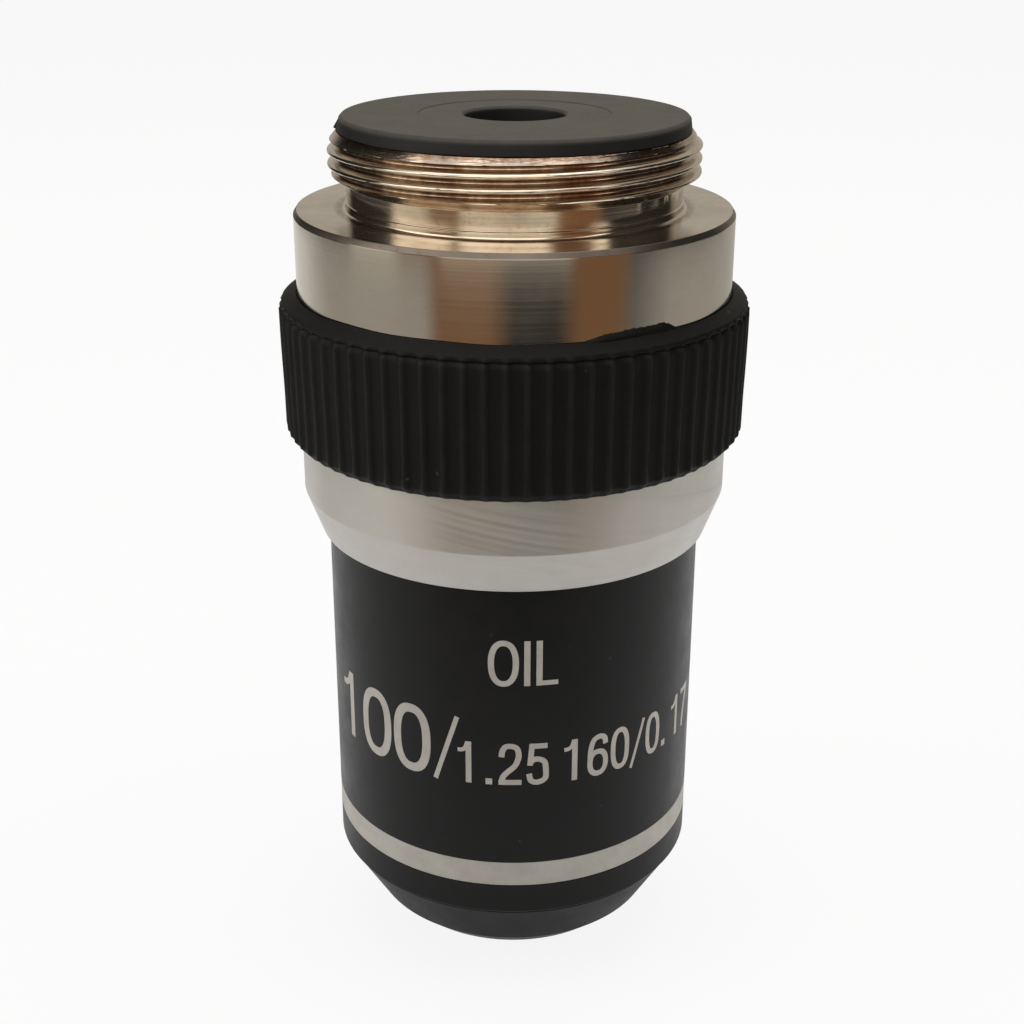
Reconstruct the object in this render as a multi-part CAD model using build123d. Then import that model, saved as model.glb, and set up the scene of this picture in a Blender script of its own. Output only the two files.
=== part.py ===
from build123d import *
import math
import os

# Microscope objective with a sprung front.
# Millimetres. +Z points from the front tip towards the mounting thread.
# The origin is the centre of the flat tip, which is what the objective stands on.
# Radii follow from the mount's thread, and heights from the shoulder or the tip.

# Standard mount: 0.8 inch diameter, 36 threads to the inch
MOUNT_THREAD_RADIUS = 10.16
SHOULDER_HEIGHT = 44.7
THREAD_START = 1.6
THREAD_END = 4.15
THREAD_CHAMFER = 0.45
NECK_DEPTH = 0.96
NECK_WALL = 1.2
NECK_FOOT_RADIUS = 0.15
FLANGE_HEIGHT = 5.0
FLANGE_BREAK = 0.25
FLANGE_BREAK_WIDTH = 0.17
SPRING_SEAT_DROP = 1.1

# Rear stop disc
DISC_STEP = 0.56
DISC_THICKNESS = 0.8
DISC_EDGE_ROUND = 0.28
DISC_EDGE_DRAFT = 0.09
DISC_SPIGOT_LENGTH = 1.5
STOP_RADIUS = 2.75
DISC_RECESS_WIDTH = 2.45
DISC_RECESS_DEPTH = 0.04

# Body: steps between the nested radii, from the sliding bore outwards
SLIDE_BORE_STEP = 0.56
SPIGOT_WALL = 0.6
SKIRT_WALL = 1.0
SLEEVE_WALL = 1.23
COLLAR_LEDGE = 0.44
COLLAR_CONE_STEP = 0.9
FLANGE_STEP = 0.05
COLLAR_CYLINDER_LENGTH = 3.15
COLLAR_CONE_LENGTH = 2.43
SLEEVE_SPIGOT_LENGTH = 4.8
SLEEVE_BOTTOM = 5.72
SLEEVE_EDGE_BREAK = 0.12
BAND_RISE = 1.92
BAND_WIDTH = 1.53
BAND_DEPTH = 0.1

# Grip ring
GRIP_GROOVE_DEPTH = 0.72
GRIP_STAND = 1.04
GRIP_TAPER = 0.11
GRIP_LIP_RISE = 0.5
GRIP_LIP_WALL = 0.12
GRIP_SHOULDER_DROP = 0.42
GRIP_HEIGHT = 7.7
GRIP_BEVEL = 0.5
GRIP_ROUND = 0.3
RIB_COUNT = 68
RIB_HEIGHT = 0.2
RIB_CREST_WIDTH = 0.34
RIB_ROOT_WIDTH = 0.62
RIB_ROOT_DEPTH = 0.6
RIB_DROP = 0.55

# Nose cone
NOSE_SPIGOT_WALL = 0.3
NOSE_SPIGOT_LENGTH = 3.1
NOSE_BORE_STEP = 1.6
NOSE_RIM_STEP = 0.17
NOSE_CONE_STEP = 1.93
NOSE_LIP_STEP = 1.17
NOSE_LIP_HEIGHT = 2.43
NOSE_FACE_HEIGHT = 1.38
NOSE_FACE_WALL = 0.95
NOSE_FLOOR_ROOM = 0.5

# Sliding front
SLIDE_CLEARANCE = 0.05
SLIDE_LAND = 3.5
SLIDE_RELIEF = 0.25
SLIDE_TRAVEL = 1.2
BARREL_BORE_RATIO = 0.807
TUBE_RATIO = 0.718
CELL_RATIO = 0.58
TUBE_NECK_WALL = 0.3
TUBE_NECK_LENGTH = 4.0
TUBE_THREAD_RELIEF = 2.0
TUBE_SEAT_RISE = 2.18
TUBE_SEAT_LENGTH = 8.0
TUBE_RIM = 1.8
LOCK_RING_HEIGHT = 1.6
LOCK_RING_GAP = 0.1
LOCK_NOTCH_WIDTH = 1.0
LOCK_NOTCH_DEPTH = 0.6
TIP_CLEARANCE = 0.1
TIP_SPIGOT_STEP = 0.9
TIP_FLANGE_STEP = 0.3
TIP_BODY_STEP = 0.15
TIP_CONE_WIDTH = 1.45
TIP_CONE_HEIGHT = 1.75
TIP_BODY_HEIGHT = 3.2
TUBE_BOTTOM = 4.6
TIP_SPIGOT_LENGTH = 1.8

# Lens cells
CELL_CLEARANCE = 0.02
FRONT_LENS_RADIUS = 1.0
FRONT_LENS_RECESS = 0.05
FRONT_SEAT_HEIGHT = 0.75
FRONT_CONE_LEDGE = 1.2
MENISCUS_SEAT = 2.6
MENISCUS_BORE_WALL = 1.6
MENISCUS_CELL_WALL = 0.7
MENISCUS_CELL_HEIGHT = 2.6
MENISCUS_LIP = 0.4
MENISCUS_EDGE = 1.0
MENISCUS_HOLLOW_RATIO = 0.13
MENISCUS_CROWN_RATIO = 0.37
RETAINER_HEIGHT = 1.0
DOUBLET_A_CELL_WALL = 1.9
DOUBLET_A_CELL_HEIGHT = 4.0
DOUBLET_B_CELL_WALL = 1.3
DOUBLET_B_CELL_HEIGHT = 4.6
SPACER_HEIGHT = 2.8
CELL_LIP_HEIGHT = 0.6
CELL_LIP_WIDTH = 0.4
FLINT_EDGE = 1.6
CEMENT_SAG_RATIO = 0.19
CROWN_EDGE = 0.35
CROWN_SAG_RATIO = 0.165
RING_HEIGHT = 1.6
RING_SLOT_WIDTH = 0.8
RING_SLOT_DEPTH = 0.6

# Spring and guide screw
WIRE_RADIUS = 0.4
SPRING_STEP = 0.7
SPRING_TURNS = 6
SPRING_END_GAP = 0.02
GUIDE_RISE = 0.9
GUIDE_RADIUS = 0.8
GUIDE_ENTRY = 0.75
GUIDE_SLOT_CLEARANCE = 0.05
GUIDE_SLOT_LENGTH = 2.2
GUIDE_DRIVE_WIDTH = 0.3
GUIDE_DRIVE_DEPTH = 0.4
GUIDE_SKIRT_GAP = 0.3

# Radii of the mount and the body
neck_radius = MOUNT_THREAD_RADIUS - NECK_DEPTH
rear_bore_radius = neck_radius - NECK_WALL
disc_radius = MOUNT_THREAD_RADIUS - DISC_STEP
slide_bore_radius = MOUNT_THREAD_RADIUS - SLIDE_BORE_STEP
sleeve_spigot_radius = slide_bore_radius + SPIGOT_WALL
skirt_radius = slide_bore_radius + SKIRT_WALL
sleeve_radius = slide_bore_radius + SLEEVE_WALL
cone_radius = sleeve_radius + COLLAR_LEDGE
collar_radius = cone_radius + COLLAR_CONE_STEP
flange_radius = collar_radius - FLANGE_STEP
grip_seat_radius = flange_radius - GRIP_GROOVE_DEPTH
grip_radius = flange_radius + GRIP_STAND
grip_foot_radius = grip_radius - GRIP_TAPER
nose_spigot_radius = slide_bore_radius + NOSE_SPIGOT_WALL
nose_bore_radius = slide_bore_radius - NOSE_BORE_STEP
nose_rim_radius = sleeve_radius - NOSE_RIM_STEP
nose_lip_radius = nose_rim_radius - NOSE_CONE_STEP
nose_face_radius = nose_lip_radius - NOSE_LIP_STEP
spring_radius = slide_bore_radius - SPRING_STEP

# Radii of the sliding front
slide_radius = slide_bore_radius - SLIDE_CLEARANCE
barrel_bore_radius = BARREL_BORE_RATIO * MOUNT_THREAD_RADIUS
tube_thread_radius = TUBE_RATIO * MOUNT_THREAD_RADIUS
cell_radius = CELL_RATIO * MOUNT_THREAD_RADIUS
stack_radius = cell_radius - CELL_CLEARANCE
tube_neck_radius = cell_radius + TUBE_NECK_WALL
tip_flange_radius = cell_radius - TIP_FLANGE_STEP
tip_spigot_radius = cell_radius - TIP_SPIGOT_STEP
tip_body_radius = tip_spigot_radius - TIP_BODY_STEP
tip_radius = tip_body_radius - TIP_CONE_WIDTH
nose_floor_radius = tip_flange_radius + NOSE_FLOOR_ROOM
meniscus_bore_radius = tip_spigot_radius - MENISCUS_BORE_WALL
meniscus_radius = meniscus_bore_radius - MENISCUS_CELL_WALL
doublet_a_radius = cell_radius - DOUBLET_A_CELL_WALL
doublet_b_radius = cell_radius - DOUBLET_B_CELL_WALL

# Heights down from the shoulder
flange_bottom = SHOULDER_HEIGHT - FLANGE_HEIGHT
mount_top = SHOULDER_HEIGHT + THREAD_END
spring_seat = SHOULDER_HEIGHT - SPRING_SEAT_DROP
grip_bottom = flange_bottom - GRIP_HEIGHT
grip_top = flange_bottom + GRIP_LIP_RISE
cone_top = grip_bottom - COLLAR_CYLINDER_LENGTH
collar_bottom = cone_top - COLLAR_CONE_LENGTH
sleeve_top = collar_bottom + SLEEVE_SPIGOT_LENGTH
guide_height = grip_bottom + GUIDE_RISE
skirt_bottom = guide_height + GUIDE_RADIUS + GUIDE_SKIRT_GAP
slide_top = guide_height + GUIDE_SLOT_LENGTH

# Heights up from the tip
band_bottom = SLEEVE_BOTTOM + BAND_RISE
slide_stop = SLEEVE_BOTTOM + NOSE_SPIGOT_LENGTH
tip_top = TUBE_BOTTOM + TIP_SPIGOT_LENGTH
spacer_bottom = tip_top + DOUBLET_A_CELL_HEIGHT
cell_b_bottom = spacer_bottom + SPACER_HEIGHT
ring_bottom = cell_b_bottom + DOUBLET_B_CELL_HEIGHT
tube_top = ring_bottom + RING_HEIGHT + TUBE_RIM
tube_neck_top = TUBE_BOTTOM + TUBE_NECK_LENGTH
tube_thread_bottom = tube_neck_top + TUBE_THREAD_RELIEF
tube_seat_bottom = slide_stop + TUBE_SEAT_RISE
tube_seat_top = tube_seat_bottom + TUBE_SEAT_LENGTH


def turned(*corners, rounds=None):
    """Solid turned about Z from (radius, height) corners; rounds gives fillet radii by corner number."""
    radii = [0] * len(corners)
    for corner, radius in (rounds or {}).items():
        radii[corner] = radius
    outline = FilletPolyline(*[(r, 0, z) for r, z in corners], radius=radii, close=True)
    return revolve(make_face(outline), axis=Axis.Z)


def tube(outer, inner, bottom, top):
    return turned((inner, bottom), (outer, bottom), (outer, top), (inner, top))


def dome(rim, rim_height, rise):
    """Spherical face's half section from axis to rim; rise is the centre's height above the rim."""
    sphere = (rim**2 + rise**2) / (2 * abs(rise))
    middle_rise = sphere - math.sqrt(sphere**2 - (rim / 2) ** 2)
    centre = rim_height + rise
    middle = centre - math.copysign(middle_rise, rise)
    return ThreePointArc((0, 0, centre), (rim / 2, 0, middle), (rim, 0, rim_height))


def flat_face(rim, height):
    return Line((0, 0, height), (rim, 0, height))


def lens(rim, lower, upper):
    """Turned lens between two half sections that reach the same rim radius."""
    axis_line = Line(lower @ 0, upper @ 0)
    edge_line = Line(lower @ 1, upper @ 1)
    return revolve(make_face(Wire([lower, edge_line, upper, axis_line])), axis=Axis.Z)


def radial_slots(width, depth, top, outer, count=2):
    """Slots across a ring's top face, one every 360/count degrees."""
    slot = Pos(outer, 0, top - depth / 2) * Box(2 * outer, width, depth)
    return [Rot(0, 0, 360 * i / count) * slot for i in range(count)]


def thread_mount():
    thread_bottom = SHOULDER_HEIGHT + THREAD_START
    return turned(
        (slide_bore_radius, skirt_bottom),
        (skirt_radius, skirt_bottom),
        (skirt_radius, flange_bottom),
        (flange_radius, flange_bottom),
        (flange_radius, SHOULDER_HEIGHT - FLANGE_BREAK),
        (flange_radius - FLANGE_BREAK_WIDTH, SHOULDER_HEIGHT),
        (neck_radius, SHOULDER_HEIGHT),
        (neck_radius, thread_bottom),
        (MOUNT_THREAD_RADIUS, thread_bottom + THREAD_CHAMFER / 2),
        (MOUNT_THREAD_RADIUS, mount_top - THREAD_CHAMFER),
        (MOUNT_THREAD_RADIUS - THREAD_CHAMFER, mount_top),
        (rear_bore_radius, mount_top),
        (rear_bore_radius, spring_seat),
        (slide_bore_radius, spring_seat),
        rounds={6: NECK_FOOT_RADIUS},
    )


def rear_stop_disc():
    disc_top = mount_top + DISC_THICKNESS
    recess_floor = disc_top - DISC_RECESS_DEPTH
    recess_radius = STOP_RADIUS + DISC_RECESS_WIDTH
    return turned(
        (STOP_RADIUS, mount_top - DISC_SPIGOT_LENGTH),
        (rear_bore_radius, mount_top - DISC_SPIGOT_LENGTH),
        (rear_bore_radius, mount_top),
        (disc_radius, mount_top),
        (disc_radius - DISC_EDGE_DRAFT, disc_top),
        (recess_radius, disc_top),
        (recess_radius, recess_floor),
        (STOP_RADIUS, recess_floor),
        rounds={4: DISC_EDGE_ROUND},
    )


def grip_outline(inset, drop):
    """Turned form of the grip, with its ribbed side cut back by inset from drop below the shoulder."""
    shoulder = grip_top - GRIP_SHOULDER_DROP
    foot = grip_foot_radius - inset
    corners = [
        (grip_seat_radius, grip_bottom),
        (foot - GRIP_BEVEL, grip_bottom),
        (foot, grip_bottom + GRIP_BEVEL),
    ]
    rounds = {1: GRIP_ROUND / 2, 2: GRIP_ROUND}
    if inset:
        corners.append((grip_radius - inset, shoulder - drop))
        corners.append((grip_radius - inset / 2, shoulder - drop / 2))
    corners += [
        (grip_radius, shoulder),
        (flange_radius + GRIP_LIP_WALL, grip_top),
        (flange_radius, grip_top - GRIP_LIP_WALL),
        (flange_radius, flange_bottom),
        (grip_seat_radius, flange_bottom),
    ]
    if not inset:
        rounds[3] = GRIP_ROUND / 2
    return turned(*corners, rounds=rounds)


def grip_ring():
    """Rubber ring: a smooth core, and upright ribs that follow the ring's outer form."""
    core = grip_outline(RIB_HEIGHT, RIB_DROP)
    root = grip_foot_radius - GRIP_BEVEL - RIB_ROOT_DEPTH
    crest = grip_radius + RIB_HEIGHT
    foot_corner = (root, RIB_ROOT_WIDTH / 2)
    crest_corner = (crest, RIB_CREST_WIDTH / 2)
    mirrored = [(r, -half) for r, half in (crest_corner, foot_corner)]
    rib = Polygon(foot_corner, crest_corner, *mirrored, align=None)
    ribs = Sketch() + [Rot(0, 0, 360 * i / RIB_COUNT) * rib for i in range(RIB_COUNT)]
    ribbed = Pos(0, 0, grip_bottom) * extrude(ribs, amount=grip_top - GRIP_SHOULDER_DROP - grip_bottom)
    return core + (ribbed & grip_outline(0, 0))


def collar_body():
    body = turned(
        (sleeve_spigot_radius, collar_bottom),
        (cone_radius, collar_bottom),
        (collar_radius, cone_top),
        (collar_radius, grip_bottom),
        (grip_seat_radius, grip_bottom),
        (grip_seat_radius, flange_bottom),
        (skirt_radius, flange_bottom),
        (skirt_radius, skirt_bottom),
        (slide_bore_radius, skirt_bottom),
        (slide_bore_radius, sleeve_top),
        (sleeve_spigot_radius, sleeve_top),
    )
    return body - guide_rod(GUIDE_RADIUS, slide_bore_radius - GUIDE_ENTRY, grip_seat_radius + GUIDE_ENTRY)


def outer_sleeve():
    return turned(
        (nose_spigot_radius, SLEEVE_BOTTOM),
        (sleeve_radius - SLEEVE_EDGE_BREAK, SLEEVE_BOTTOM),
        (sleeve_radius, SLEEVE_BOTTOM + SLEEVE_EDGE_BREAK),
        (sleeve_radius, band_bottom),
        (sleeve_radius - BAND_DEPTH, band_bottom),
        (sleeve_radius - BAND_DEPTH, band_bottom + BAND_WIDTH),
        (sleeve_radius, band_bottom + BAND_WIDTH),
        (sleeve_radius, collar_bottom),
        (sleeve_spigot_radius, collar_bottom),
        (sleeve_spigot_radius, sleeve_top),
        (slide_bore_radius, sleeve_top),
        (slide_bore_radius, slide_stop),
        (nose_spigot_radius, slide_stop),
    )


def marker_band():
    return tube(sleeve_radius, sleeve_radius - BAND_DEPTH, band_bottom, band_bottom + BAND_WIDTH)


def nose_cone():
    hole = tip_body_radius + TIP_CLEARANCE
    floor = NOSE_FACE_HEIGHT + NOSE_FACE_WALL
    return turned(
        (hole, NOSE_FACE_HEIGHT),
        (nose_face_radius, NOSE_FACE_HEIGHT),
        (nose_lip_radius, NOSE_LIP_HEIGHT),
        (nose_rim_radius, SLEEVE_BOTTOM),
        (nose_spigot_radius, SLEEVE_BOTTOM),
        (nose_spigot_radius, slide_stop),
        (nose_bore_radius, slide_stop),
        (nose_bore_radius, SLEEVE_BOTTOM),
        (nose_floor_radius, floor),
        (hole, floor),
    )


def front_cell():
    return turned(
        (FRONT_LENS_RADIUS, 0),
        (tip_radius, 0),
        (tip_body_radius, TIP_CONE_HEIGHT),
        (tip_body_radius, TIP_BODY_HEIGHT),
        (tip_flange_radius, TIP_BODY_HEIGHT),
        (tip_flange_radius, TUBE_BOTTOM),
        (tip_spigot_radius, TUBE_BOTTOM),
        (tip_spigot_radius, tip_top),
        (meniscus_bore_radius, tip_top),
        (meniscus_bore_radius, MENISCUS_SEAT),
        (FRONT_LENS_RADIUS + FRONT_CONE_LEDGE, MENISCUS_SEAT),
        (FRONT_LENS_RADIUS, FRONT_SEAT_HEIGHT),
        rounds={1: FRONT_LENS_RECESS * 2},
    )


def front_lens():
    ball = Pos(0, 0, FRONT_LENS_RECESS) * Sphere(FRONT_LENS_RADIUS)
    return split(ball, bisect_by=Plane.XY.offset(FRONT_LENS_RECESS), keep=Keep.TOP)


def lens_cell(bore, bottom, height, outer):
    """Cell with an inner lip at its lower end that the lens rests on."""
    lip_top = bottom + CELL_LIP_HEIGHT
    return turned(
        (bore - CELL_LIP_WIDTH, bottom),
        (outer, bottom),
        (outer, bottom + height),
        (bore, bottom + height),
        (bore, lip_top),
        (bore - CELL_LIP_WIDTH, lip_top),
    )


def meniscus_cell():
    return turned(
        (meniscus_radius - MENISCUS_LIP, MENISCUS_SEAT),
        (meniscus_bore_radius - CELL_CLEARANCE, MENISCUS_SEAT),
        (meniscus_bore_radius - CELL_CLEARANCE, MENISCUS_SEAT + MENISCUS_CELL_HEIGHT),
        (meniscus_radius, MENISCUS_SEAT + MENISCUS_CELL_HEIGHT),
        (meniscus_radius, MENISCUS_SEAT + MENISCUS_LIP),
        (meniscus_radius - MENISCUS_LIP, MENISCUS_SEAT + MENISCUS_LIP),
    )


def meniscus_lens():
    rim = meniscus_radius - CELL_CLEARANCE
    seat = MENISCUS_SEAT + MENISCUS_LIP
    hollow = dome(rim, seat, rim * MENISCUS_HOLLOW_RATIO)
    crown = dome(rim, seat + MENISCUS_EDGE, rim * MENISCUS_CROWN_RATIO)
    return lens(rim, hollow, crown)


def meniscus_retainer():
    bottom = MENISCUS_SEAT + MENISCUS_CELL_HEIGHT
    top = bottom + RETAINER_HEIGHT
    ring = tube(meniscus_bore_radius, meniscus_radius - MENISCUS_LIP / 2, bottom, top)
    return ring - radial_slots(RING_SLOT_WIDTH, RING_SLOT_DEPTH, top, meniscus_bore_radius)


def doublet(rim_bore, cell_bottom):
    """Cemented pair: a flat-fronted flint and a crown that share one spherical face."""
    rim = rim_bore - CELL_CLEARANCE
    seat = cell_bottom + CELL_LIP_HEIGHT
    cemented = seat + FLINT_EDGE
    cement = dome(rim, cemented, -rim * CEMENT_SAG_RATIO)
    flint = lens(rim, flat_face(rim, seat), cement)
    crown = lens(rim, cement, dome(rim, cemented + CROWN_EDGE, rim * CROWN_SAG_RATIO))
    return flint, crown


def retaining_ring():
    ring = tube(cell_radius, doublet_b_radius, ring_bottom, ring_bottom + RING_HEIGHT)
    return ring - radial_slots(RING_SLOT_WIDTH, RING_SLOT_DEPTH, ring_bottom + RING_HEIGHT, cell_radius)


def lens_tube():
    return turned(
        (tip_spigot_radius, TUBE_BOTTOM),
        (tube_neck_radius, TUBE_BOTTOM),
        (tube_neck_radius, tube_neck_top),
        (tube_thread_radius, tube_thread_bottom),
        (tube_thread_radius, tube_top),
        (cell_radius, tube_top),
        (cell_radius, tip_top),
        (tip_spigot_radius, tip_top),
    )


def parfocal_lock_ring():
    top = tube_seat_top + LOCK_RING_HEIGHT
    outer = barrel_bore_radius - LOCK_RING_GAP
    ring = tube(outer, tube_thread_radius, tube_seat_top, top)
    return ring - radial_slots(LOCK_NOTCH_WIDTH, LOCK_NOTCH_DEPTH, top, outer)


def inner_barrel():
    lower_land = slide_stop + SLIDE_LAND
    upper_land = slide_top - SLIDE_LAND - SLIDE_TRAVEL
    barrel = turned(
        (nose_bore_radius, slide_stop),
        (slide_radius, slide_stop),
        (slide_radius, lower_land),
        (slide_radius - SLIDE_RELIEF, lower_land + SLIDE_RELIEF),
        (slide_radius - SLIDE_RELIEF, upper_land - SLIDE_RELIEF),
        (slide_radius, upper_land),
        (slide_radius, slide_top),
        (barrel_bore_radius, slide_top),
        (barrel_bore_radius, tube_seat_top),
        (tube_thread_radius, tube_seat_top),
        (tube_thread_radius, tube_seat_bottom),
        (nose_bore_radius, tube_seat_bottom),
    )
    half_width = GUIDE_RADIUS + GUIDE_SLOT_CLEARANCE
    slot_end = guide_height - SLIDE_TRAVEL - GUIDE_SLOT_CLEARANCE
    slot_length = slide_top - slot_end
    slot_outline = Pos(0, slot_end) * Circle(half_width)
    slot_outline += Pos(0, slot_end + slot_length / 2) * Rectangle(2 * half_width, slot_length)
    slot = extrude(Plane.XZ * slot_outline, amount=-slide_bore_radius)
    return barrel - slot


def guide_rod(radius, start, end):
    """Cylinder along +Y at the guide screw's height."""
    return extrude(Plane.XZ.offset(-start) * Pos(0, guide_height) * Circle(radius), amount=start - end)


def guide_screw():
    screw = guide_rod(GUIDE_RADIUS, slide_radius - GUIDE_ENTRY, grip_seat_radius - SLIDE_CLEARANCE)
    drive_floor = grip_seat_radius - SLIDE_CLEARANCE - GUIDE_DRIVE_DEPTH
    drive = Pos(0, drive_floor + GUIDE_DRIVE_DEPTH / 2, guide_height)
    return screw - drive * Box(2 * GUIDE_RADIUS, GUIDE_DRIVE_DEPTH, GUIDE_DRIVE_WIDTH)


def retraction_spring():
    """Round wire coil with both ends ground flat."""
    bottom = slide_top + SPRING_END_GAP
    top = spring_seat - SPRING_END_GAP
    rise = (top - bottom) / SPRING_TURNS
    path = Pos(0, 0, bottom) * Helix(rise, top - bottom, spring_radius)
    wire = Plane(origin=path @ 0, z_dir=path % 0) * Circle(WIRE_RADIUS)
    coil = sweep(wire, path=path, is_frenet=True)
    return coil & tube(spring_radius + 2 * WIRE_RADIUS, spring_radius - 2 * WIRE_RADIUS, bottom, top)


flint_a, crown_a = doublet(doublet_a_radius, tip_top)
flint_b, crown_b = doublet(doublet_b_radius, cell_b_bottom)
nodes = {
    "thread_mount": thread_mount(),
    "rear_stop_disc": rear_stop_disc(),
    "grip_ring": grip_ring(),
    "collar_body": collar_body(),
    "outer_sleeve": outer_sleeve(),
    "marker_band": marker_band(),
    "nose_cone": nose_cone(),
    "guide_screw": guide_screw(),
    "retraction_spring": retraction_spring(),
    "inner_barrel": inner_barrel(),
    "parfocal_lock_ring": parfocal_lock_ring(),
    "lens_tube": lens_tube(),
    "front_cell": front_cell(),
    "front_lens": front_lens(),
    "meniscus_cell": meniscus_cell(),
    "meniscus_lens": meniscus_lens(),
    "meniscus_retainer": meniscus_retainer(),
    "doublet_a_cell": lens_cell(doublet_a_radius, tip_top, DOUBLET_A_CELL_HEIGHT, stack_radius),
    "doublet_a_flint": flint_a,
    "doublet_a_crown": crown_a,
    "spacer_tube": tube(stack_radius, doublet_b_radius, spacer_bottom, cell_b_bottom),
    "doublet_b_cell": lens_cell(doublet_b_radius, cell_b_bottom, DOUBLET_B_CELL_HEIGHT, stack_radius),
    "doublet_b_flint": flint_b,
    "doublet_b_crown": crown_b,
    "retaining_ring": retaining_ring(),
}

os.makedirs("parts", exist_ok=True)
for name, solid in nodes.items():
    export_step(solid, f"parts/{name}.step")
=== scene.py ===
import math

import bpy
import numpy as np
from mathutils import Matrix, Vector


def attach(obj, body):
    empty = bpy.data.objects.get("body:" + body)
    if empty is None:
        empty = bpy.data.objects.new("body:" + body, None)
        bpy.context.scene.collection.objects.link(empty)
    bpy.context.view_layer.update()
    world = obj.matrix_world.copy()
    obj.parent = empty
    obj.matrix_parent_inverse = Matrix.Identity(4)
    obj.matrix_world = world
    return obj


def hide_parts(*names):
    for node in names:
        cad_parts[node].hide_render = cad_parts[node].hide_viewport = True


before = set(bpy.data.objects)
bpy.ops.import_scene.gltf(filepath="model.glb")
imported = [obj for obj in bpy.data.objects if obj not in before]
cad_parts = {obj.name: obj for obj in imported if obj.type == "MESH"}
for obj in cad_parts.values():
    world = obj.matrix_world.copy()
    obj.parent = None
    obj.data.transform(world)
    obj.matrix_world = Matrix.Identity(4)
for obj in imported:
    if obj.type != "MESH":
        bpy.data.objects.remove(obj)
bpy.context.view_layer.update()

MM = 0.001
rng = np.random.default_rng(7)

# The mount, in millimetres, as in the part's source
THREAD_RADIUS = 10.16
THREAD_DEPTH = 0.44
THREAD_PITCH = 25.4 / 36
THREAD_PHASE = 3.47
SHOULDER = 44.7
NECK_RADIUS = 9.2
FLANGE_RADIUS = 12.12
GRIP_TOP = 40.2
GRIP_BOTTOM = 32.0
GRIP_RADIUS = 13.16
RIB_COUNT = 76
RIB_PHASE = math.radians(3)
RIB_HEIGHT = 0.2
SLEEVE_RADIUS = 10.83
FLAG_RADIUS = 100


# Meshes

def rounded(corners, support=0.06):
    """Half section with its corners rounded: (r, z) stays sharp, (r, z, radius) becomes a small arc."""
    out = []
    count = len(corners)
    for i, corner in enumerate(corners):
        p = np.array(corner[:2], float)
        radius = corner[2] if len(corner) > 2 else 0
        if not radius:
            out.append(p)
            continue
        before = np.array(corners[i - 1][:2], float) - p
        after = np.array(corners[(i + 1) % count][:2], float) - p
        reach_a, reach_b = np.linalg.norm(before), np.linalg.norm(after)
        a, b = before / reach_a, after / reach_b
        half = math.acos(max(-1, min(1, float(a @ b)))) / 2
        cut = min(radius / math.tan(half), reach_a * 0.48, reach_b * 0.48)
        radius = cut * math.tan(half)
        centre = p + (a + b) / np.linalg.norm(a + b) * radius / math.sin(half)
        start, end = p + a * cut, p + b * cut
        angle_a = math.atan2(*(start - centre)[::-1])
        turn = (math.atan2(*(end - centre)[::-1]) - angle_a + math.pi) % (2 * math.pi) - math.pi
        if reach_a > 4 * cut:
            out.append(start + a * min(support, reach_a * 0.2))
        steps = 4
        for k in range(steps + 1):
            t = angle_a + turn * k / steps
            out.append(centre + radius * np.array((math.cos(t), math.sin(t))))
        if reach_b > 4 * cut:
            out.append(end + b * min(support, reach_b * 0.2))
    return np.array(out)


def new_object(name, verts, faces, body, nodes=()):
    mesh = bpy.data.meshes.new(name)
    mesh.from_pydata([tuple(v) for v in np.asarray(verts) * MM], [], faces)
    mesh.validate()
    mesh.shade_smooth()
    obj = bpy.data.objects.new(name, mesh)
    bpy.context.scene.collection.objects.link(obj)
    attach(obj, body)
    if nodes:
        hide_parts(*nodes)
    return obj


def lathe(name, section, segments, body, nodes=(), shape=None, sharp=math.radians(40)):
    """Closed half section turned about Z; shape(r, z, theta) may change the radii and heights."""
    theta = np.linspace(0, 2 * math.pi, segments, endpoint=False)[:, None]
    r = np.repeat(section[:, 0][None, :], segments, 0)
    z = np.repeat(section[:, 1][None, :], segments, 0)
    if shape:
        r, z = shape(r, z, theta)
    verts = np.stack([r * np.cos(theta), r * np.sin(theta), z], -1).reshape(-1, 3)
    n = len(section)
    faces = []
    for i in range(segments):
        here, there = i * n, (i + 1) % segments * n
        for j in range(n):
            k = (j + 1) % n
            faces.append((here + j, there + j, there + k, here + k))
    obj = new_object(name, verts, faces, body, nodes)
    obj.data.set_sharp_from_angle(angle=sharp)
    return obj


# Materials

def material(name, color, metallic=0.0, roughness=0.5, aniso=0.0, spec=0.5):
    mat = bpy.data.materials.new(name)
    mat.use_nodes = True
    tree = mat.node_tree
    bsdf = tree.nodes["Principled BSDF"]
    bsdf.inputs["Base Color"].default_value = (*color, 1)
    bsdf.inputs["Metallic"].default_value = metallic
    bsdf.inputs["Roughness"].default_value = roughness
    bsdf.inputs["Anisotropic"].default_value = aniso
    bsdf.inputs["Specular IOR Level"].default_value = spec
    if aniso:
        bsdf.inputs["Anisotropic Rotation"].default_value = 0.25
        tangent = tree.nodes.new("ShaderNodeTangent")
        tangent.direction_type = "RADIAL"
        tangent.axis = "Z"
        tree.links.new(tangent.outputs[0], bsdf.inputs["Tangent"])
    return mat, tree, bsdf


def node(tree, kind, **inputs):
    made = tree.nodes.new(kind)
    for key, value in inputs.items():
        socket = made.inputs[key.replace("_", " ")]
        if isinstance(value, bpy.types.NodeSocket):
            tree.links.new(value, socket)
        else:
            socket.default_value = value
    return made


def maths(tree, operation, a, b=None, clamp=False):
    made = tree.nodes.new("ShaderNodeMath")
    made.operation = operation
    made.use_clamp = clamp
    for i, value in enumerate((a, b)):
        if isinstance(value, bpy.types.NodeSocket):
            tree.links.new(value, made.inputs[i])
        elif value is not None:
            made.inputs[i].default_value = value
    return made.outputs[0]


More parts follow.
